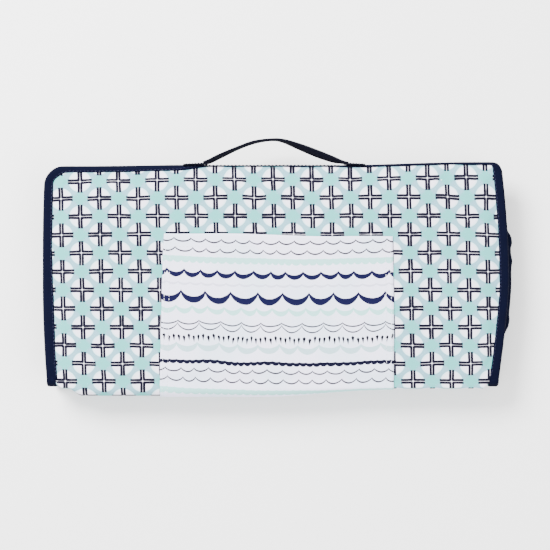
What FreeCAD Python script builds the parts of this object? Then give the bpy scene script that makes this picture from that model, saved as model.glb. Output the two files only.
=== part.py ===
import FreeCAD, Part

import math
import os

from FreeCAD import Vector

# A padded mat of four panels, folded like an accordion and lying flat on its back panel.
# Millimetres. +X runs along the folds, +Y towards the free edges with the handle, +Z up.
# The origin is the middle of the folded mat's footprint, on the face that it lies on.

WIDTH = 414.0  # folded mat, over the edge binding
REACH = 115.7  # from the origin to the lower fold, and to the top of the handle
FREE_EDGE = 92.0  # bound edge of the front and back panels
UPPER_FOLD = 90.35  # outside of the fold between the two inner panels

# sheets
CLOTH = 0.8  # printed cover, and the wipe-clean lining
TAPE = 0.9  # binding tape
TAPE_FACE = 9.5  # how far the tape reaches in over each face
PANEL = 7.5  # a panel's thickness in the middle
RIM = 4.0  # and pressed together under the tape
CORNER = 18.0  # radius of the free corners
GAP = 2.2  # air between two closed panels
PITCH = PANEL + GAP

# folds: one cloth wraps round the ends of two panels, and the other turns between them
WRAP_R = PANEL + GAP / 2
LOWER_END = WRAP_R - REACH  # ends of the padding
UPPER_END = UPPER_FOLD - WRAP_R
NOTCH = 6.5  # the tape stops this far short of the padding's end
TAPE_END = LOWER_END + NOTCH
TAPE_HALF = 1.7  # half the tape's thickness where it turns a fold

# the padded shoulder: (distance in from the tape's edge, share of the rise)
SHOULDER = ((0.0, 0.0), (3.0, 0.55), (8.0, 0.87), (16.0, 1.0))

# pocket
POCKET_HALF = 103.7
POCKET_TOP = 28.0
POCKET_SEAM = 3.0
POCKET_ROOM = 0.7  # between an empty pocket and the cover

# closure
PATCH_W = 60.0
PATCH_H = 20.0
PATCH_T = 0.9
PATCH_Y = 58.0

# handle
STRAP_T = 2.2
STRAP_W = 8.5
STRAP_HALF = 55.0  # half the span of the loop where it leaves the edge
TAB = 11.0  # length of each sewn end
STRAP_OFF = 2.5  # from the bound edge to the loop's feet
STRAP_CENTRE = -1.8

FOLD = "fold"
FREE = "free"


class Panel:
    """One panel: its name, the height of its middle, how its upper end ends, and which face is up."""

    def __init__(self, name, level, top, cover_up):
        self.name = name
        self.middle = PANEL / 2 + level * PITCH
        self.top = top
        self.cover_up = cover_up


PANELS = (
    Panel("back_panel", 0, FREE, False),
    Panel("inner_back_panel", 1, FOLD, True),
    Panel("inner_front_panel", 2, FOLD, False),
    Panel("front_panel", 3, FREE, True),
)
BACK, INNER_BACK, INNER_FRONT, FRONT = PANELS

SIDE = WIDTH / 2 - TAPE  # half-width of the padding
FOLD_HALF = WIDTH / 2 - TAPE_FACE - 0.3  # half-width of the cloth that turns a fold


def box(x, y, z):
    """A box from three (low, high) pairs."""
    return Part.makeBox(x[1] - x[0], y[1] - y[0], z[1] - z[0], Vector(x[0], y[0], z[0]))


def corner_cut(before, corner, after, radius):
    """Where a corner's rounding starts, its middle and where it stops."""
    back = (before - corner).normalize()
    on = (after - corner).normalize()
    middle = corner + (back + on) * radius * (1 - math.sqrt(0.5))
    return corner + back * radius, middle, corner + on * radius


def face_of(corners, z):
    """A flat face at height z from corners (x, y, radius), anticlockwise; a radius of 0 is sharp."""
    points = [Vector(x, y, z) for x, y, radius in corners]
    following = points[1:] + points[:1]
    cuts = [
        corner_cut(points[i - 1], points[i], following[i], corner[2])
        for i, corner in enumerate(corners)
    ]
    edges = []
    for i, (start, middle, stop) in enumerate(cuts):
        if corners[i][2]:
            edges.append(Part.Arc(start, middle, stop).toShape())
        edges.append(Part.makeLine(stop, cuts[(i + 1) % len(cuts)][0]))
    return Part.Face(Part.Wire(edges))


def notch(x, end, step, way):
    """Corners of the padding where the tape turns a fold, from the fold's end outwards, or back in."""
    corners = [(x, end, 0), (x, step, 0), (math.copysign(SIDE, x), step, 0)]
    return corners[::way]


def rim_outline(panel, inset):
    """The panel's flat rim seen from above, drawn in at its bound edges and notched at its folds."""
    side = SIDE - inset
    corners = notch(-FOLD_HALF, LOWER_END, TAPE_END, -1) + notch(FOLD_HALF, LOWER_END, TAPE_END, 1)
    if panel.top == FREE:
        radius = CORNER - TAPE - inset
        corners += [(SIDE, FREE_EDGE - TAPE - inset, radius), (-SIDE, FREE_EDGE - TAPE - inset, radius)]
    else:
        corners += notch(FOLD_HALF, UPPER_END, UPPER_END - NOTCH, -1)
        corners += notch(-FOLD_HALF, UPPER_END, UPPER_END - NOTCH, 1)
    drawn_in = [(math.copysign(side, x) if abs(x) == SIDE else x, y, r) for x, y, r in corners]
    return face_of(drawn_in, 0)


def crown_outline(panel, inset, z):
    """The padding's crown at height z: drawn in at the bound edges, and running out to the folds."""
    side = SIDE - inset
    corners = [(-side, LOWER_END, 0), (side, LOWER_END, 0)]
    if panel.top == FREE:
        top = FREE_EDGE - TAPE - inset
        radius = max(CORNER - TAPE - inset, 4.0)
        corners += [(side, top, radius), (-side, top, radius)]
    else:
        corners += [(side, UPPER_END, 0), (-side, UPPER_END, 0)]
    return face_of(corners, z).OuterWire


def half_pad(panel, skin=0.0):
    """The upper half of a panel about its middle plane, drawn in by skin: a thin rim and a soft crown."""
    rim = RIM / 2 - skin
    plate = rim_outline(panel, skin).extrude(Vector(0, 0, rim))
    rise = (PANEL - RIM) / 2
    sections = [
        crown_outline(panel, TAPE_FACE + away, rim + share * rise) for away, share in SHOULDER
    ]
    crown = Part.makeLoft(sections, True, False)
    if crown.Volume < 0:
        crown.reverse()
    return plate.fuse(crown).removeSplitter()


def skin_of(panel):
    """The cloth over one half of a panel, as a shell of CLOTH."""
    return half_pad(panel).cut(half_pad(panel, CLOTH))


def flipped(shape):
    return shape.mirror(Vector(0, 0, 0), Vector(0, 0, 1))


def at_height(shape, z):
    moved = shape.copy()
    moved.translate(Vector(0, 0, z))
    return moved


def binding(panel):
    """The tape folded over the panel's open edges: both sides, and the free edge where there is one."""
    half = RIM / 2 + TAPE
    low = TAPE_END
    over = 30.0
    outer_top = FREE_EDGE if panel.top == FREE else UPPER_END - NOTCH
    slot_top = FREE_EDGE - TAPE if panel.top == FREE else outer_top + over
    open_top = FREE_EDGE - TAPE_FACE if panel.top == FREE else outer_top + over
    rounded = CORNER if panel.top == FREE else 0

    def plate(inset, bottom, top, height, radius):
        side = WIDTH / 2 - inset
        corners = [(-side, bottom, 0), (side, bottom, 0), (side, top, radius), (-side, top, radius)]
        return face_of(corners, -height).extrude(Vector(0, 0, 2 * height))

    tape = plate(0, low, outer_top, half, rounded)
    tape = tape.cut(plate(TAPE, low - over, slot_top, RIM / 2, max(rounded - TAPE, 0)))
    return tape.cut(plate(TAPE_FACE, low - over, open_top, PANEL, max(rounded - TAPE_FACE, 0)))


def half_ring(inner, outer, y, z, left, right, towards):
    """Half a tube about the X direction at (y, z), on the side of y that towards points to."""
    axis = Vector(1, 0, 0)
    start = Vector(left, y, z)
    tube = Part.makeCylinder(outer, right - left, start, axis)
    tube = tube.cut(Part.makeCylinder(inner, right - left, start, axis))
    reach = sorted((y, y + towards * 2 * outer))
    return tube.common(box((left, right), reach, (z - 2 * outer, z + 2 * outer)))


def fold_parts(name, below, towards, cover_outside):
    """The two cloths and the tapes that turn one fold above the panel below it."""
    z = below.middle + PITCH / 2
    end = LOWER_END if towards < 0 else UPPER_END
    tape_end = end - towards * NOTCH
    turn = PITCH / 2
    outside = half_ring(WRAP_R - CLOTH, WRAP_R, end, z, -FOLD_HALF, FOLD_HALF, towards)
    inside = half_ring(GAP / 2, GAP / 2 + CLOTH, end, z, -FOLD_HALF, FOLD_HALF, towards)
    half = WIDTH / 2
    tapes = [
        half_ring(turn - TAPE_HALF, turn + TAPE_HALF, tape_end, z, left, left + TAPE_FACE, towards)
        for left in (-half, half - TAPE_FACE)
    ]
    return {
        name + "_cover": outside if cover_outside else inside,
        name + "_lining": inside if cover_outside else outside,
        name + "_binding": Part.makeCompound(tapes),
    }


def panel_parts(panel):
    """Cover, padding, lining and edge binding of one panel, at its height in the folded mat."""
    upper = skin_of(panel)
    lower = flipped(upper)
    core = half_pad(panel, CLOTH)
    padding = core.fuse(flipped(core)).removeSplitter()
    shapes = {
        "cover": upper if panel.cover_up else lower,
        "lining": lower if panel.cover_up else upper,
        "padding": padding,
        "binding": binding(panel),
    }
    return {
        panel.name + "_" + kind: at_height(shape, panel.middle) for kind, shape in shapes.items()
    }


def pocket():
    """A flat pocket on the front cover: sewn down at both sides and along the lower fold, open above."""
    full = (-POCKET_HALF, POCKET_HALF)
    inner = (-POCKET_HALF + POCKET_SEAM, POCKET_HALF - POCKET_SEAM)
    height = (LOWER_END, POCKET_TOP)
    room_height = (LOWER_END + POCKET_SEAM, POCKET_TOP)
    face = FRONT.middle + PANEL / 2
    sheet = box(full, height, (face, face + POCKET_ROOM + CLOTH))
    return sheet.cut(box(inner, room_height, (face, face + POCKET_ROOM)))


def patch(z_low):
    """A rectangle of hook or loop tape, its lower face at z_low."""
    half = PATCH_W / 2
    return box((-half, half), (PATCH_Y, PATCH_Y + PATCH_H), (z_low, z_low + PATCH_T))


def closure_parts():
    """Hook and loop tape between the lining faces that meet, one pair near each free edge."""
    half = PANEL / 2
    return {
        "back_closure_loop": patch(BACK.middle + half),
        "back_closure_hook": patch(INNER_BACK.middle - half - PATCH_T),
        "front_closure_loop": patch(INNER_FRONT.middle + half),
        "front_closure_hook": patch(FRONT.middle - half - PATCH_T),
    }


def strap_loop():
    """The free loop of the handle: one arc standing on edge, with its feet turned up from the tape."""
    foot = FREE_EDGE + STRAP_OFF
    rise = REACH - foot
    outer = (STRAP_HALF**2 + rise**2) / (2 * rise)
    centre_y = REACH - outer
    centre = Vector(STRAP_CENTRE, centre_y, -STRAP_W / 2)
    ring = Part.makeCylinder(outer, STRAP_W, centre)
    ring = ring.cut(Part.makeCylinder(outer - STRAP_T, STRAP_W, centre))
    room = box(
        (STRAP_CENTRE - 2 * STRAP_HALF, STRAP_CENTRE + 2 * STRAP_HALF),
        (foot, REACH + STRAP_T),
        (-STRAP_W, STRAP_W),
    )
    return at_height(ring.common(room), FRONT.middle)


def strap_ends():
    """The two ends of the handle, sewn flat to the bound edge beside the loop's feet."""
    ends = []
    for way in (-1, 1):
        inner = STRAP_CENTRE + way * (STRAP_HALF - STRAP_T)
        span = sorted((inner, inner + way * TAB))
        height = (FREE_EDGE, FREE_EDGE + STRAP_T)
        ends.append(box(span, height, (-STRAP_W / 2, STRAP_W / 2)))
    return at_height(Part.makeCompound(ends), FRONT.middle)


def all_parts():
    parts = {}
    for panel in PANELS:
        parts.update(panel_parts(panel))
    parts.update(fold_parts("rear_fold", BACK, -1, True))
    parts.update(fold_parts("middle_fold", INNER_BACK, 1, False))
    parts.update(fold_parts("front_fold", INNER_FRONT, -1, True))
    parts["front_pocket"] = pocket()
    parts.update(closure_parts())
    parts["carry_handle"] = strap_loop()
    parts["handle_ends"] = strap_ends()
    return parts


os.makedirs("parts", exist_ok=True)
for part_name, part_shape in all_parts().items():
    part_shape.exportStep("parts/" + part_name + ".step")
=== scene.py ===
import math

import bpy
import numpy as np
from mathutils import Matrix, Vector


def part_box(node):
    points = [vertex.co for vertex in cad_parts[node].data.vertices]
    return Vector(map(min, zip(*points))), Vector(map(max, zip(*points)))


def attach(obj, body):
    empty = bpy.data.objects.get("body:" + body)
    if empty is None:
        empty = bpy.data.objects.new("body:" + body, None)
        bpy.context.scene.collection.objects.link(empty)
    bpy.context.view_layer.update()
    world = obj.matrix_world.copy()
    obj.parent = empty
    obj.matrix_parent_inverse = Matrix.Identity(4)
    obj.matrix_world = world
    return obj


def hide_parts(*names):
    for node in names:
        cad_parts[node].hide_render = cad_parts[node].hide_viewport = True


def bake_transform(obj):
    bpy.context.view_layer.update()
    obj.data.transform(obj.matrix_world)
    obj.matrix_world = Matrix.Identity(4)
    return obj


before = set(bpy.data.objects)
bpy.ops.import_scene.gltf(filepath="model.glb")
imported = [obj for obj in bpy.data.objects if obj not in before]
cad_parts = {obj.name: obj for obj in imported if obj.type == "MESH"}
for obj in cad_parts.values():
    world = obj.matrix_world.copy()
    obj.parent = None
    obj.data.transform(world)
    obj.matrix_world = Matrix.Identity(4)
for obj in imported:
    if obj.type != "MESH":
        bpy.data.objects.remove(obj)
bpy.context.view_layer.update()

# Everything below is in millimetres until a mesh is made.
# Flat coordinates: x along the folds, y towards the free edges, w above a panel's middle plane.
MM = 0.001


def mm_box(node):
    low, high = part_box(node)
    return np.array(low) / MM, np.array(high) / MM


tape_low, tape_high = mm_box("front_panel_binding")
pad_low, pad_high = mm_box("inner_front_panel_padding")
wrap_low, wrap_high = mm_box("front_fold_cover")
pocket_low, pocket_high = mm_box("front_pocket")
strap_low, strap_high = mm_box("carry_handle")
patch_low, patch_high = mm_box("front_closure_hook")

HALF_W = tape_high[0]
FREE = tape_high[1]
TAPE_END = tape_low[1]  # the tape turns each fold a little short of the padding's end
LOWER_END, UPPER_END = pad_low[1], pad_high[1]
NOTCH = TAPE_END - LOWER_END
PITCH = tape_low[2] - mm_box("inner_front_panel_binding")[0][2]
CROWN = (wrap_high[2] - wrap_low[2] - PITCH) / 2  # half a panel's thickness
WRAP = LOWER_END - wrap_low[1]  # how far the cover stands out past the padding at a fold
RIM = 2.1  # half-thickness of cover, padding and lining under the tape
TAPE_W = 9.4  # how far the tape reaches in over a face
TAPE_LIFT = 0.55
LOOP_HALF = 1.6  # half the tape's thickness where it turns a fold, with no padding in it
NIP = 1.6  # the cloth of a fold is drawn in over this width beside the tape
STEP = 5.0  # grid of the cloth simulation
SIM_INSET = 0.9  # the simulated cloth ends this far inside the bound edge
SIM_FRAMES = 20
FINE = 2.6  # grid of the finished cloth
TUCK = 2.6  # cloth edges end this far inside the tape
SEAM = 5.0  # one panel's cloth meets the next this far in from the padding's end
SLIT = 5.0  # length of the cloth that turns between two panels


class Panel:
    """One of the four panels. run turns a flat y into the length along the unfolded mat."""

    def __init__(self, body, free, cover_side, seed, corners=(18.0, 18.0), bulge=0.5):
        self.name = body + "_panel"
        self.body = body
        self.free = free
        self.cover = cover_side
        self.corners = corners
        self.bulge = bulge
        low, high = mm_box(self.name + "_binding")
        self.mid = (low[2] + high[2]) / 2
        self.top = FREE if free else UPPER_END
        self.random = np.random.default_rng(seed)
        self.relief = None
        self.start = 0.0

    def run(self, y):
        return self.start + self.cover * y


BACK = Panel("back", True, -1, 4)
INNER_BACK = Panel("inner_back", False, 1, 3)
INNER_FRONT = Panel("inner_front", False, -1, 2)
FRONT = Panel("front", True, 1, 1, corners=(17.0, 9.6), bulge=1.5)
PANELS = (BACK, INNER_BACK, INNER_FRONT, FRONT)

TURN = math.pi * (WRAP + PITCH / 2 + CROWN) / 2
INNER_FRONT.start = 2 * LOWER_END - TURN
INNER_BACK.start = INNER_FRONT.run(UPPER_END) - SLIT - UPPER_END
BACK.start = INNER_BACK.run(LOWER_END) - TURN + LOWER_END


class Fold:
    """A fold between two panels: at their lower ends (towards -1) or their upper ends (1)."""

    def __init__(self, name, upper, lower, towards):
        self.name = name
        self.upper = upper
        self.lower = lower
        self.towards = towards
        self.end = LOWER_END if towards < 0 else UPPER_END
        self.height = (upper.mid + lower.mid) / 2


FRONT_FOLD = Fold("front_fold", FRONT, INNER_FRONT, -1)
MIDDLE_FOLD = Fold("middle_fold", INNER_FRONT, INNER_BACK, 1)
REAR_FOLD = Fold("rear_fold", INNER_BACK, BACK, -1)
FOLDS = (FRONT_FOLD, MIDDLE_FOLD, REAR_FOLD)


# ---- shape of a panel ----

def smooth(t):
    """Rises from 0 at t = 0 to 1 at t = 1, level at both ends."""
    t = np.clip(t, 0, 1)
    return t * t * (3 - 2 * t)


def bump(t, centre, width, power=2):
    """A hump of height 1 at centre. A higher power makes it flatter on top."""
    return np.exp(-np.abs((t - centre) / width) ** power)


def inset_of(panel, x, y):
    """Distance in from the panel's bound edge."""
    side = HALF_W - np.abs(x)
    if not panel.free:
        return side
    top = panel.top - y
    radius = np.where(x < 0, *panel.corners)
    away = radius - np.hypot(np.maximum(radius - side, 0), np.maximum(radius - top, 0))
    return np.where((side < radius) & (top < radius), away, np.minimum(side, top))


def nip(x):
    """1 under the tape at a fold's two ends, and 0 further in."""
    return 1 - smooth((HALF_W - TAPE_W - np.abs(x)) / NIP)


def half_thickness(panel, x, y):
    """Half the panel's thickness: pressed flat under the tape, and full in the middle."""
    rise = smooth((inset_of(panel, x, y) - TAPE_W + 2.0) / 22.0) ** 0.7
    puffed = RIM + (CROWN - RIM) * rise
    flat = 1 - smooth((y - TAPE_END) / 9.0)
    if not panel.free:
        flat = np.maximum(flat, 1 - smooth((UPPER_END - NOTCH - y) / 9.0))
    flat = flat * nip(x)
    return puffed * (1 - flat) + 0.5 * flat


def right_edge(y):
    """The front panel's right side is fullest a little above the middle, and drawn in at both ends."""
    above = 5.0 * (np.clip(y + 15, 0, None) / 89) ** 2
    below = 10.0 * (np.clip(-15 - y, 0, None) / 91) ** 1.3
    return 208.0 - above - below


def left_edge(y):
    """The left side is straighter, and drawn in most at its lower end."""
    above = 2.0 * (np.clip(y + 12, 0, None) / 104) ** 3
    below = 3.8 * (np.clip(-12 - y, 0, None) / 92) ** 2
    return -210.0 + above + below


# Where the inner panels stand out past the front one at the right: (how far, y, half-length, power)
LUMPS = ((5.6, -13, 52, 8), (1.8, 25, 6, 4), (1.0, 6, 5, 2), (1.2, -50, 6, 4))


def slip(panel, y):
    """How far a panel has slipped to the right of the front one."""
    out = sum(size * bump(y, centre, half, power) for size, centre, half, power in LUMPS) - 2.0
    return {INNER_FRONT: out, INNER_BACK: 0.7 * out - 0.6, BACK: -1.5, FRONT: 0.0}[panel] + 0 * y


def edges_of(panel, y):
    """Where the panel's two sides really lie."""
    shy = 0.0 if panel is FRONT else 1.6
    return left_edge(y) + shy, right_edge(y) + slip(panel, y)


CURL_RADIUS = 2.6
CURL_LEFT, CURL_RIGHT = 38, 81  # degrees that the edge turns down through
CURL_AT = 87.4  # y where it starts to turn


def rolled(x, y, w):
    """The front panel's free edge curls down: a little at the left, and nearly upright elsewhere."""
    right = smooth((x + 92) / 36) * (1 - 0.5 * smooth((x - 150) / 40))
    turn = np.radians(CURL_LEFT + (CURL_RIGHT - CURL_LEFT) * right)
    fuller = 2.6 * smooth((x - 55) / 115)
    y = y + (1.8 * smooth((x + 175) / 120) - 1.2 + fuller) * smooth((y - 40) / 50)
    start = CURL_AT - 0.6 * right + fuller
    past = np.clip(y - start, 0, None)
    angle = np.minimum(past / CURL_RADIUS, turn)
    straight = np.clip(past - CURL_RADIUS * turn, 0, None)
    over = start + (CURL_RADIUS + w) * np.sin(angle) + straight * np.cos(angle)
    down = (CURL_RADIUS + w) * np.cos(angle) - CURL_RADIUS - straight * np.sin(angle)
    return np.where(past > 0, over, y), np.where(past > 0, down, w)


def place(panel, x, y, w):
    """World position of a point of the panel given in flat coordinates."""
    x, y, w = np.broadcast_arrays(np.asarray(x, float), np.asarray(y, float), np.asarray(w, float))
    left, right = edges_of(panel, y)
    world_x = left + (right - left) * (x + HALF_W) / (2 * HALF_W)
    if panel is FRONT:
        y, w = rolled(x, y, w)
    z = panel.mid + w
    if panel is BACK:
        z = np.maximum(z, 0.05)
    return np.stack([world_x, y, z], -1)


# ---- meshes ----

def unit(vectors):
    return vectors / np.linalg.norm(vectors, axis=-1, keepdims=True)


def steps_along(line):
    """The distances between the points of a line."""
    return np.linalg.norm(np.diff(line, axis=0), axis=-1)


def run_along(line):
    """The length along a line of points, from 0 at its start."""
    return np.concatenate([[0], np.cumsum(steps_along(line))])


def grid_faces(rows, columns, flip=False):
    index = np.arange(rows * columns).reshape(rows, columns)
    quads = np.stack([index[:-1, :-1], index[:-1, 1:], index[1:, 1:], index[1:, :-1]], -1)
    quads = quads.reshape(-1, 4)
    return quads[:, ::-1] if flip else quads


def tube_faces(rows, around):
    """Faces of a closed tube made of rows of rings, with its ends capped."""
    index = np.arange(rows * around).reshape(rows, around)
    nxt = np.roll(index, -1, 1)
    quads = np.stack([index[:-1], nxt[:-1], nxt[1:], index[1:]], -1).reshape(-1, 4)
    return quads.tolist() + [index[0, ::-1].tolist(), index[-1].tolist()]


def add_object(name, data, at=(0, 0, 0)):
    thing = bpy.data.objects.new(name, data)
    thing.location = at
    bpy.context.scene.collection.objects.link(thing)
    return thing


def new_object(name, points, faces, material=None, uv=None):
    """A mesh object from points in millimetres. uv is the cloth's flat coordinates."""
    mesh = bpy.data.meshes.new(name)
    faces = faces if isinstance(faces, list) else faces.tolist()
    mesh.from_pydata((np.asarray(points).reshape(-1, 3) * MM).tolist(), [], faces)
    mesh.polygons.foreach_set("use_smooth", [True] * len(mesh.polygons))
    if material:
        mesh.materials.append(material)
    if uv is not None:
        layer = mesh.uv_layers.new(name="flat")
        corner = np.empty(len(mesh.loops), int)
        mesh.loops.foreach_get("vertex_index", corner)
        layer.data.foreach_set("uv", np.asarray(uv).reshape(-1, 2)[corner].astype(np.float32).ravel())
    return add_object(name, mesh)


def thicken(thing, thickness):
    """Gives a surface its cloth's thickness, inwards."""
    solid = thing.modifiers.new("Thickness", "SOLIDIFY")
    solid.thickness = thickness * MM
    solid.offset = -1
    return thing


def faces_up(points):
    """Whether the middle of a grid of points faces up, with its faces the usual way round."""
    i, j = points.shape[0] // 2, points.shape[1] // 2
    a = points[i + 1, j + 1] - points[i, j]
    b = points[i + 1, j] - points[i, j + 1]
    return np.cross(a, b)[2] > 0


# ---- padding, puffed by cloth simulation ----

def reach_of(panel, y, inset):
    """Half-width of each row of a panel's cloth, left and right, allowing for round free corners."""
    reach = []
    for corner in panel.corners:
        radius = corner - inset
        up = np.clip(y - (panel.top - corner), 0, radius) if panel.free else 0 * y
        reach.append(HALF_W - inset - radius + np.sqrt(radius**2 - up**2))
    return reach


def spread(panel, y, inset, step):
    """Flat x of the grid's columns in each row."""
    share = np.linspace(-1, 1, int(2 * HALF_W / step) + 1)
    left, right = reach_of(panel, y, inset)
    return np.where(share < 0, share * left[:, None], share * right[:, None])


def sim_grid(panel):
    y = np.linspace(LOWER_END, panel.top - SIM_INSET, int((panel.top - LOWER_END) / STEP) + 1)
    x = spread(panel, y, SIM_INSET, STEP)
    return x, np.repeat(y[:, None], x.shape[1], 1)


def shell_faces(rows, columns):
    """Faces of an upper and a lower grid joined round their rims."""
    index = np.arange(rows * columns).reshape(rows, columns)
    loop = np.concatenate([index[0, :-1], index[:-1, -1], index[-1, :0:-1], index[:0:-1, 0]])
    nxt, count = np.roll(loop, -1), rows * columns
    side = np.stack([loop, loop + count, nxt + count, nxt], -1)
    lower = grid_faces(rows, columns, True) + count
    return np.concatenate([grid_faces(rows, columns), lower, side])


def simulate(panel):
    """Relief of both faces after the stuffing has pushed the cloth out between its seams."""
    x, y = sim_grid(panel)
    h = half_thickness(panel, x, y)
    rest = np.stack([np.stack([x, y, h], -1), np.stack([x, y, -h], -1)])
    start = rest.copy()
    start[..., 2] += panel.random.normal(0, 0.1, start.shape[:3])
    thing = new_object("puff", start, shell_faces(*x.shape))
    held = inset_of(panel, x, y) < TAPE_W
    held[:1] = True
    if not panel.free:
        held[-1:] = True
    group = thing.vertex_groups.new(name="held")
    index = np.flatnonzero(np.concatenate([held.ravel(), held.ravel()]))
    group.add(index.tolist(), 1.0, "REPLACE")
    cloth = thing.modifiers.new("Cloth", "CLOTH")
    settings = cloth.settings
    settings.quality = 5
    settings.mass = 0.2
    settings.tension_stiffness = settings.compression_stiffness = 12
    settings.shear_stiffness = 4
    settings.bending_stiffness = 1.2
    settings.use_pressure = True
    settings.uniform_pressure_force = 1.5
    settings.shrink_min = settings.shrink_max = -0.03
    settings.vertex_group_mass = "held"
    settings.effector_weights.gravity = 0
    cloth.collision_settings.use_collision = False
    cloth.point_cache.frame_start, cloth.point_cache.frame_end = 1, SIM_FRAMES
    for number in range(1, SIM_FRAMES + 1):
        bpy.context.scene.frame_set(number)
    shape = thing.evaluated_get(bpy.context.evaluated_depsgraph_get())
    moved = np.empty(len(thing.data.vertices) * 3)
    shape.data.vertices.foreach_get("co", moved)
    relief = moved.reshape(start.shape) / MM - rest
    bpy.data.objects.remove(thing)
    bpy.context.scene.frame_set(1)
    limit = np.array([1.0, 1.0, panel.bulge])
    return limit * np.tanh(relief / limit)


def relief_at(panel, x, y, side):
    """The simulated relief at flat points, between the simulation's grid points."""
    if panel.relief is None:
        return np.zeros(np.shape(x) + (3,))
    field = panel.relief[0 if side > 0 else 1]
    rows, columns = field.shape[:2]
    length = panel.top - SIM_INSET - LOWER_END
    u = np.clip((x / (HALF_W - SIM_INSET) + 1) / 2 * (columns - 1), 0, columns - 1.001)
    v = np.clip((y - LOWER_END) / length * (rows - 1), 0, rows - 1.001)
    i, j = v.astype(int), u.astype(int)
    s, t = (v - i)[..., None], (u - j)[..., None]
    near = field[i, j] * (1 - t) + field[i, j + 1] * t
    far = field[i + 1, j] * (1 - t) + field[i + 1, j + 1] * t
    flat = smooth((y - LOWER_END - SEAM) / 10) * smooth((inset_of(panel, x, y) - TAPE_W) / 7)
    if not panel.free:
        flat = flat * smooth((UPPER_END - SEAM - y) / 10)
    return (near * (1 - s) + far * s) * flat[..., None]


def skin(panel, x, y, side, lift=0.0):
    """A point on one of the panel's faces, lift above the cloth."""
    x, y = np.broadcast_arrays(np.asarray(x, float), np.asarray(y, float))
    relief = relief_at(panel, x, y, side)
    w = np.maximum(half_thickness(panel, x, y) + side * relief[..., 2] + lift, 0.15)
    return place(panel, x + relief[..., 0], y + relief[..., 1], side * w)


for panel in PANELS:
    panel.relief = simulate(panel)


# ---- materials ----

def connect(node, inputs):
    """Sets a node's inputs. Each is a number or a colour, or a socket or a Value to link to."""
    for slot, item in dict(inputs).items():
        item = item.socket if isinstance(item, Value) else item
        if isinstance(item, bpy.types.NodeSocket):
            node.id_data.links.new(item, node.inputs[slot])
        else:
            node.inputs[slot].default_value = item


def add_node(tree, kind, inputs=(), **settings):
    node = tree.nodes.new("ShaderNode" + kind)
    for name, setting in settings.items():
        setattr(node, name, setting)
    connect(node, inputs)
    return node


def math_node(operation):
    """A method of Value: a math node with the value as its first input."""
    def method(value, *others):
        inputs = enumerate((value,) + others)
        node = add_node(value.tree, "Math", inputs, operation=operation)
        return Value(value.tree, node.outputs[0])
    return method


class Value:
    """A number in a material's nodes. Arithmetic on it adds nodes."""

    def __init__(self, tree, socket):
        self.tree = tree
        self.socket = socket

    __add__ = math_node("ADD")
    __sub__ = math_node("SUBTRACT")
    __mul__ = math_node("MULTIPLY")
    __truediv__ = math_node("DIVIDE")
    abs = math_node("ABSOLUTE")
    floor = math_node("FLOOR")
    fract = math_node("FRACT")
    most = math_node("MAXIMUM")
    power = math_node("POWER")
    sin = math_node("SINE")
    sqrt = math_node("SQRT")

    def under(self, limit, soft=0.12):
        """1 below limit and 0 above it, with an edge soft wide."""
        inputs = {"Value": self, "From Min": limit - soft, "From Max": limit + soft}
        inputs.update({"To Min": 1, "To Max": 0})
        node = add_node(self.tree, "MapRange", inputs, interpolation_type="SMOOTHSTEP")
        return Value(self.tree, node.outputs[0])

    def over(self, limit, soft=0.12):
        return self.under(limit, soft) * -1 + 1


def srgb(*levels):
    """Linear colour from 0-255 levels."""
    return [(v / 255 / 12.92 if v < 10 else ((v / 255 + 0.055) / 1.055) ** 2.4) for v in levels] + [1]


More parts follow.
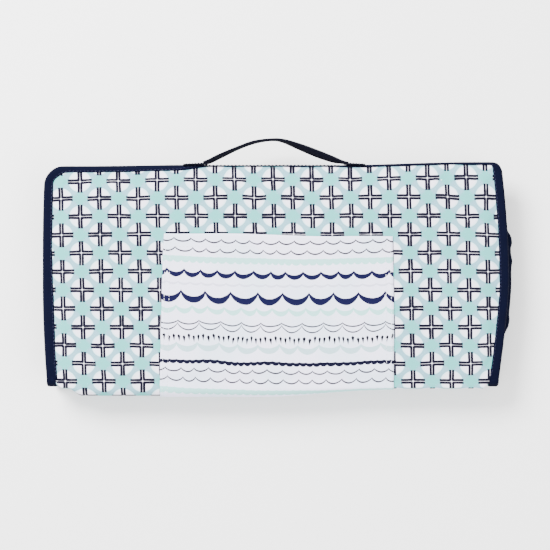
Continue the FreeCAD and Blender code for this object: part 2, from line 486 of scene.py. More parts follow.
class Cloth:
    """A fabric material: flat coordinates in, then colours mixed one over another, weave and bump."""

    def __init__(self, name, rough=0.85, sheen=0.06):
        self.material = bpy.data.materials.new(name)
        self.material.use_nodes = True
        self.tree = self.material.node_tree
        self.shader = self.tree.nodes["Principled BSDF"]
        connect(self.shader, {"Sheen Weight": sheen, "Specular IOR Level": 0.05})
        self.base_rough = rough
        self.flat = add_node(self.tree, "UVMap", uv_map="flat").outputs[0]
        split = add_node(self.tree, "SeparateXYZ", {0: self.flat})
        self.x, self.y = (Value(self.tree, socket) for socket in split.outputs[:2])
        self.colour = None

    def noise(self, size, detail=2.0, seed=0.0):
        """Noise between 0 and 1 with features of about size millimetres."""
        inputs = {"Vector": self.flat, "W": seed, "Scale": 1 / size, "Detail": detail}
        node = add_node(self.tree, "TexNoise", inputs, noise_dimensions="4D")
        return Value(self.tree, node.outputs[0])

    def mix(self, share, colour, blend="MIX"):
        """Mixes a share of a colour into what is there."""
        inputs = {0: share, 6: self.colour, 7: colour}
        node = add_node(self.tree, "Mix", inputs, data_type="RGBA", blend_type=blend)
        self.colour = node.outputs[2]

    def paint(self, colour, mask=None):
        """Lays a colour over what is there, where mask is 1."""
        if mask:
            self.mix(mask, srgb(*colour))
            return
        self.colour = add_node(self.tree, "RGB").outputs[0]
        self.colour.default_value = srgb(*colour)

    def shade(self, value, amount):
        """Makes the colour lighter and darker by amount as value goes from 0 to 1."""
        scale = value * (2 * amount) + (1 - amount)
        grey = add_node(self.tree, "CombineXYZ", {axis: scale for axis in range(3)})
        self.mix(1, grey.outputs[0], "MULTIPLY")

    def weave(self, pitch, turn=0.0):
        """Height of a plain weave: over and under, thread by thread."""
        c, s = math.cos(turn), math.sin(turn)
        a = (self.x * c + self.y * s) * (math.pi / pitch)
        b = (self.y * c - self.x * s) * (math.pi / pitch)
        warp = a.sin().abs()
        weft = b.sin().abs()
        over = (a * 0.5).sin() * (b * 0.5).sin()
        return (warp + weft) * 0.35 + over * 0.3

    def finish_cotton(self, fibre_shade, thread_shade):
        """Fine threads and loose fibres over whatever is printed."""
        fibres = self.noise(0.5, 4.0, 5.0)
        self.shade(fibres, fibre_shade)
        weave = self.weave(0.42)
        self.shade(weave, thread_shade)
        return self.finish(weave + fibres * 0.4, 0.10)

    def finish(self, height, depth):
        """Joins colour, roughness and bump to the shader. depth is the bump's height in millimetres."""
        rough = self.noise(9.0, 3.0, 7.0) * 0.16 + (self.base_rough - 0.08)
        raised = add_node(
            self.tree, "Bump", {"Strength": 1.0, "Distance": depth * MM, "Height": height}
        )
        connect(self.shader, {
            "Base Color": self.colour, "Roughness": rough, "Normal": raised.outputs[0],
        })
        return self.material


# The print repeats every PRINT_X by PRINT_Y, with a second motif in the middle of each repeat.
PRINT_X, PRINT_Y = 34.54, 32.64
PRINT_AT = (-3.6, 77.8)
ARM = 10.8  # half the length of a cross's bar
BAR = 2.35  # half its width
GROUND, SHADOW, RING, DISC = (90, 171, 168), (122, 166, 180), (205, 229, 238), (235, 231, 245)
INK, CHALK = (9, 9, 26), (236, 233, 245)


def printed_cotton():
    cloth = Cloth("printed_cotton")
    wander = cloth.noise(26.0, 1.0, 3.0) * 1.2 - 0.6
    x = (cloth.x - PRINT_AT[0] + wander) / PRINT_X
    y = (cloth.y - PRINT_AT[1] + wander) / PRINT_Y
    near_x, near_y = (x + 0.5).fract() - 0.5, (y + 0.5).fract() - 0.5
    far_x, far_y = x.fract() - 0.5, y.fract() - 0.5
    own = (near_x.abs() + near_y.abs()).under(0.5, 0.001)
    dx = ((near_x - far_x) * own + far_x) * PRINT_X
    dy = ((near_y - far_y) * own + far_y) * PRINT_Y
    out = (dx * dx + dy * dy).sqrt()
    along_a = ((x + y).fract() - 0.5).abs() * 2
    along_b = ((x - y).fract() - 0.5).abs() * 2
    band = along_a.most(along_b)
    hand = cloth.noise(2.6, 1.0, 1.0) * 0.4 - 0.2
    ax, ay = dx.abs(), dy.abs()
    upright = (ax + hand).under(BAR) * ay.under(ARM, 0.15)
    level = (ay + hand).under(BAR) * ax.under(ARM, 0.15)
    core_upright = (ax + hand * 0.5).under(0.12, 0.1) * ay.under(ARM + 0.3, 0.15)
    core_level = (ay + hand * 0.5).under(0.12, 0.1) * ax.under(ARM + 0.3, 0.15)
    cloth.paint(GROUND)
    cloth.paint(SHADOW, band.over(0.45, 0.15))
    cloth.paint(RING, out.under(9.9, 0.35))
    cloth.paint(DISC, out.under(8.6, 1.1))
    cloth.paint(INK, upright.most(level))
    clear = cloth.noise(9.0, 1.0, 12.0).over(0.44, 0.1) * 0.7 + 0.3
    cloth.paint(CHALK, (core_upright.most(core_level) * clear).most(out.under(0.75)))
    cloth.shade(cloth.noise(60.0, 2.0, 9.0), 0.025)
    return cloth.finish_cotton(0.05, 0.035)


# Rows of the pocket's print, from the mouth down. Each is a line of hanging arcs: height of the cusps
# between arcs, depth of an arc, its length, x of the first cusp, half-thickness of the line at a cusp
# and at the bottom of an arc, colour, and how strongly it is printed.
NAVY = (12, 12, 46)
LINE = (36, 28, 38)
PALE = (140, 204, 198)
GREY = (150, 186, 192)
SLATE = (38, 36, 44)
WAVES = (
    (25.6, 3.1, 13.4, -90.8, 0.7, 0.7, LINE, 1.0),
    (17.4, 3.6, 13.0, -89.6, 0.7, 0.7, LINE, 1.0),
    (8.0, 1.3, 6.7, -85.0, 1.9, 2.8, PALE, 0.9),
    (-2.4, 4.4, 15.2, -83.0, 1.45, 2.1, NAVY, 1.0),
    (-13.0, 1.8, 11.0, -88.0, 0.6, 0.9, (176, 176, 198), 0.6),
    (-20.8, 7.6, 22.6, -85.4, 1.5, 2.9, NAVY, 1.0),
    (-34.0, 4.6, 14.3, -90.0, 1.1, 2.2, PALE, 0.9),
    (-46.6, 3.3, 18.3, -87.8, 0.62, 0.62, SLATE, 1.0),
    (-48.6, 6.4, 18.3, -87.8, 0.62, 0.62, SLATE, 1.0),
    (-66.6, 5.2, 18.2, -89.8, 1.2, 2.6, GREY, 0.85),
    (-82.4, 1.2, 6.2, -91.0, 1.3, 1.8, (8, 8, 30), 1.0),
    (-88.8, 3.4, 13.3, -87.4, 0.7, 0.7, LINE, 1.0),
    (-97.2, 3.9, 13.0, -85.4, 0.7, 0.7, LINE, 1.0),
    (-109.0, 1.4, 7.0, -85.0, 2.2, 3.0, PALE, 0.9),
)
MARKS_AT = -60.4  # height of the row of small wedges
MARK_STEP = 4.3


def pocket_cotton():
    cloth = Cloth("pocket_cotton")
    drift = cloth.noise(34.0, 1.0, 2.0) * 9.0 - 4.5
    level = cloth.noise(40.0, 1.0, 6.0) * 1.6 - 0.8
    brush = cloth.noise(3.0, 2.0, 4.0) * 0.5 - 0.25
    across = cloth.x * 0.01
    sag = across * (across * -2.6 + 0.9) + 2.6
    x, y = cloth.x + drift, cloth.y + level + sag
    cloth.paint((228, 226, 248))
    cloth.paint((214, 224, 243), cloth.noise(45.0, 1.0, 8.0).under(0.46, 0.12))
    for cusp, drop, period, first, thin, thick, colour, strength in WAVES:
        swing = ((x - first) * (math.pi / period)).sin().abs().power(0.62)
        line = (y - cusp) + swing * drop
        width = swing * (thick - thin) + thin
        away = line.abs() - width + brush * (0.5 * thick)
        cloth.paint(colour, away.under(0.0, 0.14) * strength)
    cell = ((x - 1.0) / MARK_STEP)
    hop = cell.floor() * 2.4
    mark_x = (cell.fract() - 0.5).abs() * MARK_STEP
    mark_y = y - MARKS_AT + hop.sin() * 0.9
    wedge = mark_x * 1.5 + mark_y.abs() * 0.9 + (mark_y * 0.5)
    cloth.paint((12, 11, 22), wedge.under(2.0, 0.25))
    return cloth.finish_cotton(0.04, 0.03)


def lining_cloth():
    cloth = Cloth("lining_cloth", rough=0.5, sheen=0.05)
    cloth.paint((233, 236, 238))
    cloth.shade(cloth.noise(50.0, 2.0, 1.0), 0.02)
    weave = cloth.weave(0.9)
    cloth.shade(weave, 0.02)
    return cloth.finish(weave + cloth.noise(7.0, 2.0, 3.0) * 1.5, 0.07)


def bias_tape(name="bias_tape", colour=(2, 4, 24)):
    cloth = Cloth(name, rough=0.8, sheen=0.0)
    cloth.paint(colour)
    cloth.shade(cloth.noise(14.0, 3.0, 2.0), 0.16)
    weave = cloth.weave(0.5, math.radians(45))
    cloth.shade(weave, 0.22)
    lint = cloth.noise(0.9, 3.0, 6.0).under(0.24, 0.03)
    cloth.paint((40, 46, 80), lint * 0.3)
    return cloth.finish(weave + cloth.noise(3.5, 2.0, 3.0) * 1.2, 0.14)


def thread(name, colour):
    cloth = Cloth(name, rough=0.7, sheen=0.2)
    cloth.paint(colour)
    twist = ((cloth.x + cloth.y) * (math.pi / 0.25)).sin().abs()
    cloth.shade(twist, 0.15)
    return cloth.finish(twist, 0.05)


def wadding():
    cloth = Cloth("wadding", rough=0.95, sheen=0.4)
    cloth.paint((238, 238, 232))
    fluff = cloth.noise(1.6, 5.0, 1.0)
    cloth.shade(fluff, 0.06)
    return cloth.finish(fluff, 0.5)


def hook_tape(name, hooked):
    cloth = Cloth(name, rough=0.75, sheen=0.5)
    cloth.paint((204, 209, 214))
    if hooked:
        dots = ((cloth.x * (math.pi / 1.1)).sin() * (cloth.y * (math.pi / 1.1)).sin()).abs()
    else:
        dots = cloth.noise(0.7, 4.0, 2.0)
    cloth.shade(dots, 0.12)
    return cloth.finish(dots, 0.35)


COTTON = printed_cotton()
POCKET_COTTON = pocket_cotton()
LINING = lining_cloth()
TAPE = bias_tape()
STRAP = bias_tape("strap_cloth", (7, 7, 18))
NAVY_THREAD = thread("navy_thread", (14, 18, 52))
PALE_THREAD = thread("pale_thread", (222, 222, 232))
WADDING = wadding()


# ---- covers and linings ----

LEAN = 0.024  # the printed cloth was cut slightly askew
LEAN_FROM = 78.0


def cloth_uv(points, y, run):
    """Flat coordinates of the cloth: x leaning a little, and the length along the unfolded mat."""
    return np.stack([points[..., 0] - LEAN * (LEAN_FROM - y), run], -1)


def fold_end(towards, x):
    """Flat y where a panel's cloth starts to turn a fold: it starts sooner under the tape."""
    return LOWER_END + NOTCH * nip(x) if towards < 0 else UPPER_END - NOTCH * nip(x)


def fold_reach(x):
    """How far a wrapped fold stands out past the padding. It is slacker to the right."""
    slack = 0.4 + 6.6 * smooth((x + 10) / 118)
    left = smooth((x + HALF_W - TAPE_W - 5) / 17)
    right = smooth((HALF_W - TAPE_W - x) / 30)
    bare = PITCH / 2 + 0.5 - NOTCH
    return bare + (WRAP - slack - bare) * left * right


def fold_columns():
    """Flat x of the cloth's columns where it turns a fold."""
    return np.linspace(-1, 1, int(2 * HALF_W / FINE) + 1) * (HALF_W - TUCK)


def fold_line(towards, inset=0.0):
    """Where a face's cloth ends at a fold, as a function of flat x: at the fold, or inset from it."""
    return lambda x: fold_end(towards, x) - towards * inset


LOWER_FOLD, UPPER_FOLD = fold_line(-1), fold_line(1)
LOWER_SEAM, UPPER_SEAM = fold_line(-1, SEAM), fold_line(1, SEAM)


def face_part(panel, side, low, high, way):
    """Grid over one face between two edges, each a flat y or a function, going down (-1) or up (1)."""
    top_y = panel.top - TUCK if high is None else UPPER_END
    nominal = np.linspace(top_y, LOWER_END, int((top_y - LOWER_END) / FINE) + 1)
    x = spread(panel, nominal, TUCK, FINE)
    share = np.linspace(0, 1, len(nominal))[:, None]
    top = top_y if high is None else high(x)
    y = top + (low(x) - top) * share
    if way > 0:
        x, y = x[::-1], y[::-1]
    points = skin(panel, x, y, side)
    return points, cloth_uv(points, y, panel.run(y))


def turn_part(fold, outside, lift=0.0, until=1.0, x=None):
    """The cloth that turns a fold from its upper panel to its lower one, outside or in the slit."""
    if x is None:
        x = fold_columns()
    phi = np.linspace(0, math.pi * until, 15)[1:, None]
    share = phi / math.pi
    side = 1 if outside else -1
    end = fold_end(fold.towards, x)
    top = skin(fold.upper, x, end, side, lift)
    bottom = skin(fold.lower, x, end, -side, lift)
    middle = (top[:, 2] + bottom[:, 2]) / 2
    half = (top[:, 2] - bottom[:, 2]) / 2
    set_back = np.abs(end - fold.end)
    if outside:
        out = np.maximum(fold_reach(x) + set_back, 1.6) + lift
    else:
        out = 0.3 + (PITCH / 2 - 0.8) * nip(x)
    world_x = top[:, 0] + (bottom[:, 0] - top[:, 0]) * share
    world_y = end + fold.towards * out * np.sin(phi)
    world_z = np.maximum(middle + half * np.cos(phi), 0.05)
    run = fold.upper.run(end) + (fold.lower.run(end) - fold.upper.run(end)) * share
    points = np.stack([world_x, world_y, world_z], -1)
    return points, cloth_uv(points, fold.end, run)


def seam_part(panel, side, towards, inwards):
    """The last few millimetres of cloth between a fold and the seam beside it."""
    x = fold_columns()
    end = fold_end(towards, x)
    share = np.linspace(0, 1, 4)[:, None]
    y = end - towards * SEAM * share
    y = y[1:] if inwards else y[::-1]
    points = skin(panel, x, y, side)
    return points, cloth_uv(points, y, panel.run(y))


def lay(name, parts, material, facing, stands_for, thickness=0.5):
    """Makes a sheet of the parts, with its right side facing up (1) or down (-1) at its start."""
    points = np.concatenate([p for p, uv in parts])
    uv = np.concatenate([uv for p, uv in parts])
    flip = faces_up(parts[0][0]) != (facing > 0)
    faces = grid_faces(*points.shape[:2], flip)
    thing = thicken(new_object(name, points, faces, material, uv), thickness)
    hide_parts(*stands_for)
    return thing


BEND_OUT = 3.5  # the bend starts this far out from the fold's end


def bend(thing, fold, reach, lean=0.0):
    """Bakes the piece's transform into its mesh. It works out a bend line across the fold, leaning towards
    the upper panel for a lean above 0 and towards the lower for a lean below 0, but does not use it.
    """
    low, high = fold.lower.mid - reach, fold.upper.mid + reach
    y = fold.end + fold.towards * BEND_OUT
    start, end = [0, y * MM, low * MM], [0, y * MM, high * MM]
    if lean > 0:
        end[1] -= fold.towards * lean * MM
    else:
        start[1] += fold.towards * lean * MM
    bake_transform(thing)


# Reach and lean of the bend line that bend works out, but does not use, for a piece that turns a fold: how
# far it reaches past the two panels' middle planes, and how far it leans towards the panel whose whole face
# the cloth covers.
WRAP_REACH, WRAP_LEAN = 0.5, 0.4
SLIT_REACH = -3.8
LOOP_REACH = -2.5


def plain_sheet(name, panel, kind, material, side):
    """The cloth over one face of a panel, between the seams beside its folds."""
    top = None if panel.free else UPPER_SEAM
    parts = [face_part(panel, side, LOWER_SEAM, top, -1)]
    sheet = lay(name, parts, material, side, [panel.name + "_" + kind])
    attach(sheet, panel.body)


def slit_sheet(fold, kind, material):
    """The cloth that turns between two panels, at the closed side of their fold."""
    parts = [
        seam_part(fold.upper, -1, fold.towards, False),
        turn_part(fold, False),
        seam_part(fold.lower, 1, fold.towards, True),
    ]
    node = fold.name + "_" + kind
    bend(lay(node + "_cloth", parts, material, -1, [node]), fold, SLIT_REACH)


def wrap_sheet(name, fold, parts, material, stands_for, lean):
    """The cloth over one panel's face that goes on round the outside of a fold."""
    bend(lay(name, parts, material, 1, stands_for), fold, WRAP_REACH, lean)


# The printed cover, from the front panel's free edge along to the back panel's.
wrap_sheet(
    "front_cover_cloth",
    FRONT_FOLD,
    [
        face_part(FRONT, 1, LOWER_FOLD, None, -1),
        turn_part(FRONT_FOLD, True),
        seam_part(INNER_FRONT, -1, -1, True),
    ],
    COTTON, ["front_panel_cover", "front_fold_cover"], WRAP_LEAN,
)
plain_sheet("inner_front_cover_cloth", INNER_FRONT, "cover", COTTON, -1)
slit_sheet(MIDDLE_FOLD, "cover", COTTON)
plain_sheet("inner_back_cover_cloth", INNER_BACK, "cover", COTTON, 1)
wrap_sheet(
    "back_cover_cloth",
    REAR_FOLD,
    [
        seam_part(INNER_BACK, 1, -1, False),
        turn_part(REAR_FOLD, True),
        face_part(BACK, -1, LOWER_FOLD, None, 1),
    ],
    COTTON, ["back_panel_cover", "rear_fold_cover"], -WRAP_LEAN,
)

# The wipe-clean lining, the same way along.
plain_sheet("front_lining_cloth", FRONT, "lining", LINING, -1)
slit_sheet(FRONT_FOLD, "lining", LINING)
wrap_sheet(
    "middle_lining_cloth",
    MIDDLE_FOLD,
    [
        face_part(INNER_FRONT, 1, LOWER_SEAM, UPPER_FOLD, 1),
        turn_part(MIDDLE_FOLD, True),
        seam_part(INNER_BACK, -1, 1, True),
    ],
    LINING, ["inner_front_panel_lining", "middle_fold_lining"], WRAP_LEAN,
)
plain_sheet("inner_back_lining_cloth", INNER_BACK, "lining", LINING, -1)
slit_sheet(REAR_FOLD, "lining", LINING)
plain_sheet("back_lining_cloth", BACK, "lining", LINING, 1)


# ---- padding ----

def padding_piece(panel):
    top = panel.top - TUCK - 1 if panel.free else UPPER_END
    nominal = np.linspace(LOWER_END, top, 40)
    x = spread(panel, nominal, TUCK + 1.5, STEP)
    low = LOWER_FOLD(x) + 0.4
    high = top if panel.free else UPPER_FOLD(x) - 0.4
    y = low + (high - low) * np.linspace(0, 1, len(nominal))[:, None]
    points = np.stack([skin(panel, x, y, 1, -0.7), skin(panel, x, y, -1, -0.7)])
    uv = np.stack([x, y], -1)
    piece = new_object(
        panel.body + "_wadding", points, shell_faces(*x.shape), WADDING, np.stack([uv, uv])
    )
    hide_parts(panel.name + "_padding")
    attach(piece, panel.body)


for panel in PANELS:
    padding_piece(panel)


# ---- binding tape ----

def side_line(way, top):
    """A straight side of a panel, from its lower fold up to top."""
    y = np.arange(TAPE_END, top, 2.0)
    one = np.ones_like(y)
    return np.stack([way * HALF_W * one, y, -way * one, 0 * y], -1)


def edge_lines(panel):
    """The panel's bound edge as lines of (flat x, flat y, inward x, inward y)."""
    if not panel.free:
        return [side_line(way, UPPER_END - NOTCH + 0.1) for way in (-1, 1)]
    rising = []
    for way, radius in zip((-1, 1), panel.corners):
        turn = np.linspace(0, math.pi / 2, 13)
        c, s = np.cos(turn), np.sin(turn)
        x = way * (HALF_W - radius + radius * c)
        corner = np.stack([x, panel.top - radius + radius * s, -way * c, -s], -1)
        rising.append(np.concatenate([side_line(way, panel.top - radius), corner]))
    across = np.arange(-HALF_W + panel.corners[0] + 1, HALF_W - panel.corners[1], 2.0)
    one = np.ones_like(across)
    top = np.stack([across, panel.top * one, 0 * one, -one], -1)
    left, right = rising
    return [np.concatenate([left, top, right[::-1]])]


def tape_width(panel, side, x, y):
    """How far the tape reaches in. It is caught narrower along the front panel's curled edge."""
    if panel is not FRONT or side < 0:
        return TAPE_W + 0 * x
    along = smooth((y - 76) / 12) * smooth((x + 200) / 16) * smooth((204 - x) / 8)
    lower_left = np.where(x < 0, smooth((20 - y) / 60), 0)
    narrow = 6.4 - 2.2 * smooth((x + 92) / 36) + 0.6 * smooth((x - 50) / 20)
    return TAPE_W + (narrow - TAPE_W) * along - 0.6 + 1.5 * lower_left


def wobble(along, size, seed):
    """A smooth uneven wave along an edge."""
    random = np.random.default_rng(seed)
    total = 0 * along
    for period in (1.0, 1.7, 2.9):
        total += np.sin(along * (2 * math.pi / (size * period)) + random.uniform(0, 6.28))
    return total / 3


def tape_points(panel, line):
    """Points of the tape round one bound edge, and their flat coordinates along and across it."""
    px, py, nx, ny = (line[:, k, None] for k in range(4))
    along = run_along(line[:, :2])[:, None]
    edge_t = np.maximum(half_thickness(panel, px, py) + TAPE_LIFT, LOOP_HALF)
    pucker = 0.14 * wobble(along, 7.0, 5) + 0.12 * wobble(along, 23.0, 6)
    columns, across = [], []
    for side in (1, -1):
        width = tape_width(panel, side, px, py)
        flat = []
        for share in np.linspace(1, 0, 6):
            d = edge_t + (width - edge_t) * share + 0.25 * wobble(along, 31.0, 9) * share
            x, y = px + nx * d, py + ny * d
            seated = 0.2 * smooth((share - 0.6) / 0.4)
            lift = np.maximum(half_thickness(panel, x, y) + TAPE_LIFT - seated, LOOP_HALF - 0.1)
            w = side * (lift + pucker * 4 * share * (1 - share))
            flat.append((x, y, w, side * d))
        nose = []
        for turn in (67, 45, 22) if side > 0 else (0, 22, 45, 67):
            s, c = math.sin(math.radians(turn)), math.cos(math.radians(turn))
            d = edge_t * (1 - c)
            nose.append((px + nx * d, py + ny * d, side * edge_t * s, side * d))
        ordered = flat + nose if side > 0 else nose + flat[::-1]
        columns += [place(panel, *item[:3]) for item in ordered]
        across += [item[3] + 0 * along for item in ordered]
    points = np.stack([c[:, 0] for c in columns], 1)
    across = np.stack([a[:, 0] for a in across], 1)
    return points, np.stack([along + 0 * across, across], -1)


def joined(name, grids, material, thickness):
    """One object made of several grids, each with its faces the outward way round."""
    points, uvs, faces, count = [], [], [], 0
    for grid, uv, flip in grids:
        faces += (grid_faces(*grid.shape[:2], flip) + count).tolist()
        points.append(grid.reshape(-1, 3))
        uvs.append(uv.reshape(-1, 2))
        count += grid.shape[0] * grid.shape[1]
    thing = new_object(name, np.concatenate(points), faces, material, np.concatenate(uvs))
    return thicken(thing, thickness)


for panel in PANELS:
    grids = []
    for line in edge_lines(panel):
        points, uv = tape_points(panel, line)
        grids.append((points, uv, not faces_up(points[:, :5])))
    binding = joined(panel.body + "_tape", grids, TAPE, 0.45)
    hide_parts(panel.name + "_binding")
    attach(binding, panel.body)


def loop_ring():
    """Cross-section of the flattened tape in a fold: distance in from the edge, and out from its middle."""
    turn = np.linspace(0, math.pi, 7)
    nose = np.stack([LOOP_HALF * (1 - np.sin(turn)), LOOP_HALF * np.cos(turn)], -1)
    inner = [[4.0, -LOOP_HALF], [7.0, -LOOP_HALF], [8.8, -1.2], [TAPE_W, -0.3]]
    inner += [[TAPE_W, 0.3], [8.8, 1.2], [7.0, LOOP_HALF], [4.0, LOOP_HALF]]
    return np.concatenate([nose, np.array(inner)])


def loop_points(fold, way):
    """The tape turning one end of a fold, its ends tucked into the panels' tapes."""
    ring = loop_ring()
    phi = np.concatenate([[0, 0], np.linspace(0, math.pi, 15), [math.pi, math.pi]])
    tucked = np.concatenate([[3.0, 1.5], np.zeros(15), [1.5, 3.0]])[:, None]
    phi = phi[:, None]
    share = phi / math.pi
    start = fold_end(fold.towards, HALF_W)
    x = way * (HALF_W - ring[:, 0])
    radius = PITCH / 2 + ring[:, 1] * (1 - 0.06 * (tucked > 0))
    top = place(fold.upper, x, start + 0 * x, 0)[:, 0]
    bottom = place(fold.lower, x, start + 0 * x, 0)[:, 0]
    world_x = top + (bottom - top) * smooth(share) + way * 0.5 * np.sin(phi)
    world_y = start - fold.towards * tucked + fold.towards * radius * np.sin(phi)
    world_z = fold.height + radius * np.cos(phi)
    around = np.arange(len(ring)) * 1.5
    uv = np.stack([phi * PITCH / 2 + 0 * world_y, around + 0 * world_y], -1)
    return np.stack([world_x, world_y, world_z], -1), uv


def tubes_object(name, tubes, material):
    """Closed tubes of one size as one object. Each is (points, uv, whether to turn its faces over)."""
    faces = []
    for number, (points, _, turned) in enumerate(tubes):
        first = number * points.shape[0] * points.shape[1]
        for face in tube_faces(*points.shape[:2]):
            faces.append([first + k for k in (face[::-1] if turned else face)])
    all_points, all_uvs = (np.stack([tube[k] for tube in tubes]) for k in (0, 1))
    return new_object(name, all_points, faces, material, all_uvs)


for fold in FOLDS:
    tubes = [(*loop_points(fold, way), way * fold.towards > 0) for way in (-1, 1)]
    loops = tubes_object(fold.name + "_tape", tubes, TAPE)
    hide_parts(fold.name + "_binding")
    bend(loops, fold, LOOP_REACH)


# ---- pocket ----

def pocket_grid(lift):
    """Flat x and y of the pocket's grid, from its mouth down to the fold, and its lift."""
    low, high = LOWER_END, pocket_high[1]
    share = np.linspace(0, 1, int((high - low) / 2.2) + 1)[:, None]
    across = np.linspace(-1, 1, int((pocket_high[0] - pocket_low[0]) / 2.2) + 1)
    mouth = high + 0.2 - 1.8 * across - 0.5 * np.sin(across * 5)
    y = mouth + (low - mouth) * share
    x = across * np.where(across < 0, 100.6 + 4.2 * share, 102.8 + 1.6 * share)
    billow = (1 - across**4) * (1 - smooth((share - 0.75) / 0.25))
    slack = 0.5 * billow * (0.6 + 0.4 * np.sin(across * 9 + 4 * share))
    return x, y, lift + slack + 0.5 * np.exp(-share * 30) * (1 - across**8)


def pocket_points(lift=0.95, until=0.66):
    """The pocket's cloth: its face, and where it goes on round the fold for a share of the turn."""
    x, y, raised = pocket_grid(lift)
    left, right = edges_of(FRONT, y)
    flat_x = ((x - left) / (right - left) * 2 - 1) * HALF_W
    face = skin(FRONT, flat_x, y, 1, raised)
    turned = turn_part(FRONT_FOLD, True, raised[-1], until, flat_x[-1])[0]
    face_uv = np.stack([x, y + 0 * x], -1)
    length = np.cumsum(steps_along(np.concatenate([face[-1:], turned])), 0)
    turn_uv = np.stack([x[-1] + 0 * length, y[-1] - length], -1)
    return (face, face_uv), (turned, turn_uv)


pocket = lay(
    "pocket_cloth", pocket_points(), POCKET_COTTON, 1, ["front_pocket"], 0.45
)
bend(pocket, FRONT_FOLD, WRAP_REACH, WRAP_LEAN)


# ---- carrying handle ----

# The strap's middle line as it leaves the edge, arches and comes back: (x, y, lean in degrees).
HANDLE_LINE = (
    (-66.0, 93.4, 8), (-60.0, 95.4, 16), (-51.5, 99.6, 18), (-36.1, 106.6, 8), (-20.7, 112.2, 6),
    (-5.3, 114.5, 0), (5.5, 113.5, 10), (20.6, 108.1, 32), (36.0, 102.0, 42), (50.0, 96.9, 30),
    (58.0, 94.6, 8), (64.0, 93.4, 0),
)


def curve_through(knots, count):
    """Points evenly spread along a smooth curve through the knots (Catmull-Rom)."""
    knots = np.array(knots, float)
    padded = np.concatenate([2 * knots[:1] - knots[1:2], knots, 2 * knots[-1:] - knots[-2:-1]])
    t = np.linspace(0, len(knots) - 1.0001, count)
    i = t.astype(int)
    t = (t - i)[:, None]
    a, b, c, d = (padded[i + k] for k in range(4))
    return 0.5 * (2 * b + (c - a) * t + (2 * a - 5 * b + 4 * c - d) * t**2
                  + (3 * b - a - 3 * c + d) * t**3)


def strap_ring(width, thick):
    """Cross-section of a folded strap: (across, out), with pressed edges and a swell between."""
    turn = np.linspace(0, 2 * math.pi, 28, endpoint=False)
    c, s = np.cos(turn), np.sin(turn)
    across = width / 2 * np.sign(c) * np.abs(c) ** 0.45
    swell = 1 - 0.28 * bump(np.abs(across), width / 2 - 1.5, 0.5)
    out = thick / 2 * np.sign(s) * np.abs(s) ** 0.6 * swell
    return across, out


def strap_tube(line, width, thick, z):
    """Sweeps the strap's section along a line, standing on edge and leaning as the line says."""
    along = unit(np.gradient(line[:, :2], axis=0))
    normal = np.stack([-along[:, 1], along[:, 0]], -1)
    across, out = strap_ring(width, thick)
    lean = np.radians(line[:, 2])[:, None]
    sideways = across * np.sin(lean) + out * np.cos(lean)
    upright = across * np.cos(lean) - out * np.sin(lean)
    x = line[:, 0, None] + normal[:, 0, None] * sideways
    y = line[:, 1, None] + normal[:, 1, None] * sideways
    points = np.stack([x, y, z + upright], -1)
    length = run_along(line[:, :2])[:, None]
    uv = np.stack([length + 0 * across, across + np.sign(out) * 0.3 + 0 * length], -1)
    return points, uv


STRAP_Z = (strap_low[2] + strap_high[2]) / 2
STRAP_W = strap_high[2] - strap_low[2]
TAB_Z = STRAP_Z - 0.2
handle_line = curve_through(HANDLE_LINE, 110)
points, uv = strap_tube(handle_line, STRAP_W, 2.6, STRAP_Z)
handle = new_object("handle_strap", points, tube_faces(*points.shape[:2]), STRAP, uv)
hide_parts("carry_handle")
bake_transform(handle)


TAB_ENDS = {-1: (-62.0, -84.0), 1: (60.0, 79.0)}  # x of each tab, from the loop's foot outwards


def tab_line(way):
    """The sewn end of the strap, lying along the bound edge beside the loop's foot."""
    start, end = TAB_ENDS[way]
    share = np.linspace(0, 1, 14)
    x = start + (end - start) * share
    y = 93.0 - 1.1 * share
    return np.stack([x, y, 0 * x], -1)


tubes = [(*strap_tube(tab_line(way), STRAP_W - 0.6, 1.9, TAB_Z), False) for way in (-1, 1)]
ends = tubes_object("handle_tabs", tubes, STRAP)
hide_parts("handle_ends")
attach(ends, "front")


# ---- closure patches ----

def patch_grid(panel, side, lift):
    """A patch with rounded corners on one of the panel's lining faces."""
    half_w, half_h, _ = (patch_high - patch_low) / 2
    middle = (patch_high[1] + patch_low[1]) / 2
    y = np.linspace(-1, 1, 15) * half_h
    up = np.clip(np.abs(y) - (half_h - 3), 0, 3)
    reach = half_w - 3 + np.sqrt(9 - up**2)
    x = np.linspace(-1, 1, 41) * reach[:, None]
    y = y[:, None] + middle + 0 * x
    rim = np.minimum(half_w - np.abs(x), half_h - np.abs(y - middle))
    points = skin(panel, x, y, side, lift * (0.45 + 0.55 * smooth(rim / 1.6)))
    return points, np.stack([x, y], -1)


def closure_patch(name, panel, side, material):
    points, uv = patch_grid(panel, side, 0.75)
    flip = faces_up(points) != (side > 0)
    patch = thicken(new_object(name + "_patch", points, grid_faces(*points.shape[:2], flip),
                               material, uv), 0.6)
    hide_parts(name)
    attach(patch, panel.body)


LOOP_PILE = hook_tape("loop_pile", False)
HOOK_PILE = hook_tape("hook_pile", True)
CLOSURES = (
    ("back_closure_loop", BACK, 1, LOOP_PILE),
    ("back_closure_hook", INNER_BACK, -1, HOOK_PILE),
    ("front_closure_loop", INNER_FRONT, 1, LOOP_PILE),
    ("front_closure_hook", FRONT, -1, HOOK_PILE),
)
for name, panel, side, pile in CLOSURES:
    closure_patch(name, panel, side, pile)


# ---- stitching ----

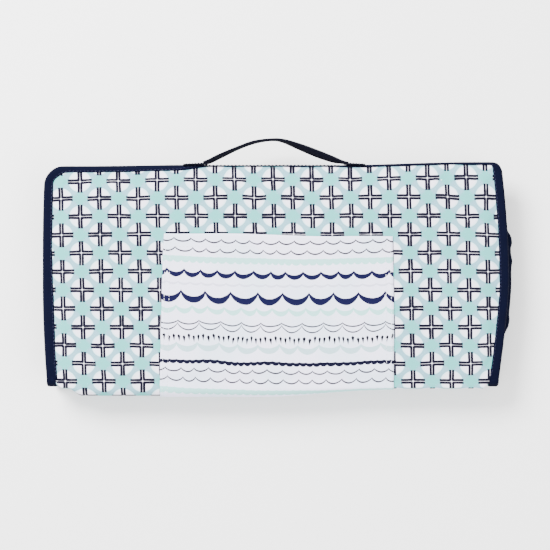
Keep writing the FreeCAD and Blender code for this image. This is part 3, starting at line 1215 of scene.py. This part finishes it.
def stitch_points(line, sunk, length, gap, radius):
    """Thread for a row of stitches: each arches out of the cloth along line, and dips to sunk."""
    at = run_along(line)
    count = int(at[-1] / (length + gap))
    share = np.linspace(0, 1, 6)
    where = (np.arange(count)[:, None] + 0.5) * (at[-1] / count) + (share - 0.5) * length
    arch = np.sin(share * math.pi)[None, :, None] ** 0.5
    above = np.stack([np.interp(where, at, line[:, k]) for k in range(3)], -1)
    below = np.stack([np.interp(where, at, sunk[:, k]) for k in range(3)], -1)
    middle = below + (above - below) * arch
    up = unit(above - below)
    side = np.cross(unit(np.gradient(middle, axis=1)), up)
    turn = np.linspace(0, 2 * math.pi, 6, endpoint=False)
    swell = radius * (0.35 + 0.65 * np.sin(share * math.pi) ** 0.4)[None, :, None, None]
    ring = (up[:, :, None] * np.sin(turn)[:, None] + side[:, :, None] * np.cos(turn)[:, None])
    return middle[:, :, None] + ring * swell


def stitches(name, lines, material, length=2.4, gap=0.9, radius=0.24):
    """Rows of stitches as one object. Each line is (points on the cloth, points just inside it)."""
    points, faces, count = [], [], 0
    for line, sunk in lines:
        made = stitch_points(line, sunk, length, gap, radius)
        one = tube_faces(*made.shape[1:3])
        for stitch in made:
            faces += [[count + k for k in face] for face in one]
            points.append(stitch.reshape(-1, 3))
            count += len(points[-1])
    points = np.concatenate(points)
    return new_object(name, points, faces, material, points[:, :2] + points[:, 2:])


def tape_stitch_line(panel, line, side):
    """The topstitch along the tape's inner edge, on one face."""
    px, py, nx, ny = line.T
    d = tape_width(panel, side, px, py) - 1.2
    x, y = px + nx * d, py + ny * d
    return [
        place(panel, x, y, side * (half_thickness(panel, x, y) + lift)) for lift in (0.62, 0.25)
    ]


for panel in PANELS:
    rows = [
        tape_stitch_line(panel, line, side) for line in edge_lines(panel) for side in (1, -1)
    ]
    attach(stitches(panel.body + "_tape_stitches", rows, NAVY_THREAD), panel.body)


pocket_top, pocket_under = (
    np.concatenate([points for points, uv in pocket_points(lift)]) for lift in (1.05, 0.7)
)
seam_rows = [(pocket_top[3:, column], pocket_under[3:, column]) for column in (1, 3, -4, -2)]
pocket_seams = stitches("pocket_side_stitches", seam_rows, PALE_THREAD)
bend(pocket_seams, FRONT_FOLD, WRAP_REACH, WRAP_LEAN)
hem_rows = [(pocket_top[5, 3:-3], pocket_under[5, 3:-3])]
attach(stitches("pocket_hem_stitches", hem_rows, PALE_THREAD), "front")


def patch_stitches(name, panel, side):
    """One row of stitches just inside a patch's edge."""
    out, into = (patch_grid(panel, side, lift)[0] for lift in (0.8, 0.4))
    rows = []
    for grid in (out, into):
        rows.append(np.concatenate([grid[1, 2:-2], grid[1:-1, -2], grid[-2, -3:1:-1], grid[-2:0:-1, 1]]))
    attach(stitches(name + "_stitches", [rows], PALE_THREAD), panel.body)


for name, panel, side, _ in CLOSURES:
    patch_stitches(name, panel, side)


def tab_stitches():
    """Two rows along the length and a cross between them, on the outside of each sewn end of the handle."""
    rows = []
    for way in (-1, 1):
        line = tab_line(way)[1:-1]
        y = line[:, 1] + 0.98
        low, high = TAB_Z - 2.9, TAB_Z + 2.9
        ramp = np.linspace(low, high, len(line))
        for z in (0 * ramp + low, 0 * ramp + high, ramp, ramp[::-1]):
            out = np.stack([line[:, 0], y, z], -1)
            rows.append((out, out - [0, 0.4, 0]))
    return rows


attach(stitches("handle_tab_stitches", tab_stitches(), NAVY_THREAD, 1.8, 0.7), "front")


# ---- floor, light and camera ----

def floor_material():
    cloth = Cloth("pale_floor", rough=0.9, sheen=0.0)
    cloth.paint((244, 244, 244))
    grain = cloth.noise(30.0, 2.0, 1.0)
    cloth.shade(grain, 0.004)
    return cloth.finish(grain, 0.02)


def make_floor():
    side = 6000.0
    corners = np.array([[-side, -side, 0], [side, -side, 0], [side, side, 0], [-side, side, 0]])
    floor = new_object("floor", corners, [[0, 1, 2, 3]], floor_material(), corners[:, :2])


def soft_light(name, at, size, power):
    """A round lamp that points at the origin."""
    lamp = bpy.data.lights.new(name, "AREA")
    lamp.shape = "DISK"
    lamp.size = size
    lamp.energy = power
    turned = (-Vector(at)).to_track_quat("-Z", "Y")
    add_object(name, lamp, at).rotation_euler = turned.to_euler()


def make_world(level):
    world = bpy.data.worlds.new("studio")
    world.use_nodes = True
    connect(world.node_tree.nodes["Background"], {"Color": (1, 1, 1, 1), "Strength": level})
    bpy.context.scene.world = world


LENS, SENSOR = 100, 36  # millimetres
VIEW_WIDTH = 0.4915  # metres across the picture, at the height of the mat's top
VIEW_AT = (-0.0018, -0.0067, 0.0366)


def make_camera():
    """Looks straight down, as far off as a long lens needs to show the mat and its handle."""
    lens = bpy.data.cameras.new("camera")
    lens.lens = LENS
    lens.sensor_width = SENSOR
    at = (*VIEW_AT[:2], VIEW_AT[2] + VIEW_WIDTH * LENS / SENSOR)
    bpy.context.scene.camera = add_object("camera", lens, at)


make_floor()
make_world(2.2)
soft_light("key", (-0.9, 1.0, 1.3), 0.9, 120)
soft_light("fill", (1.2, -0.8, 1.5), 1.6, 25)
make_camera()
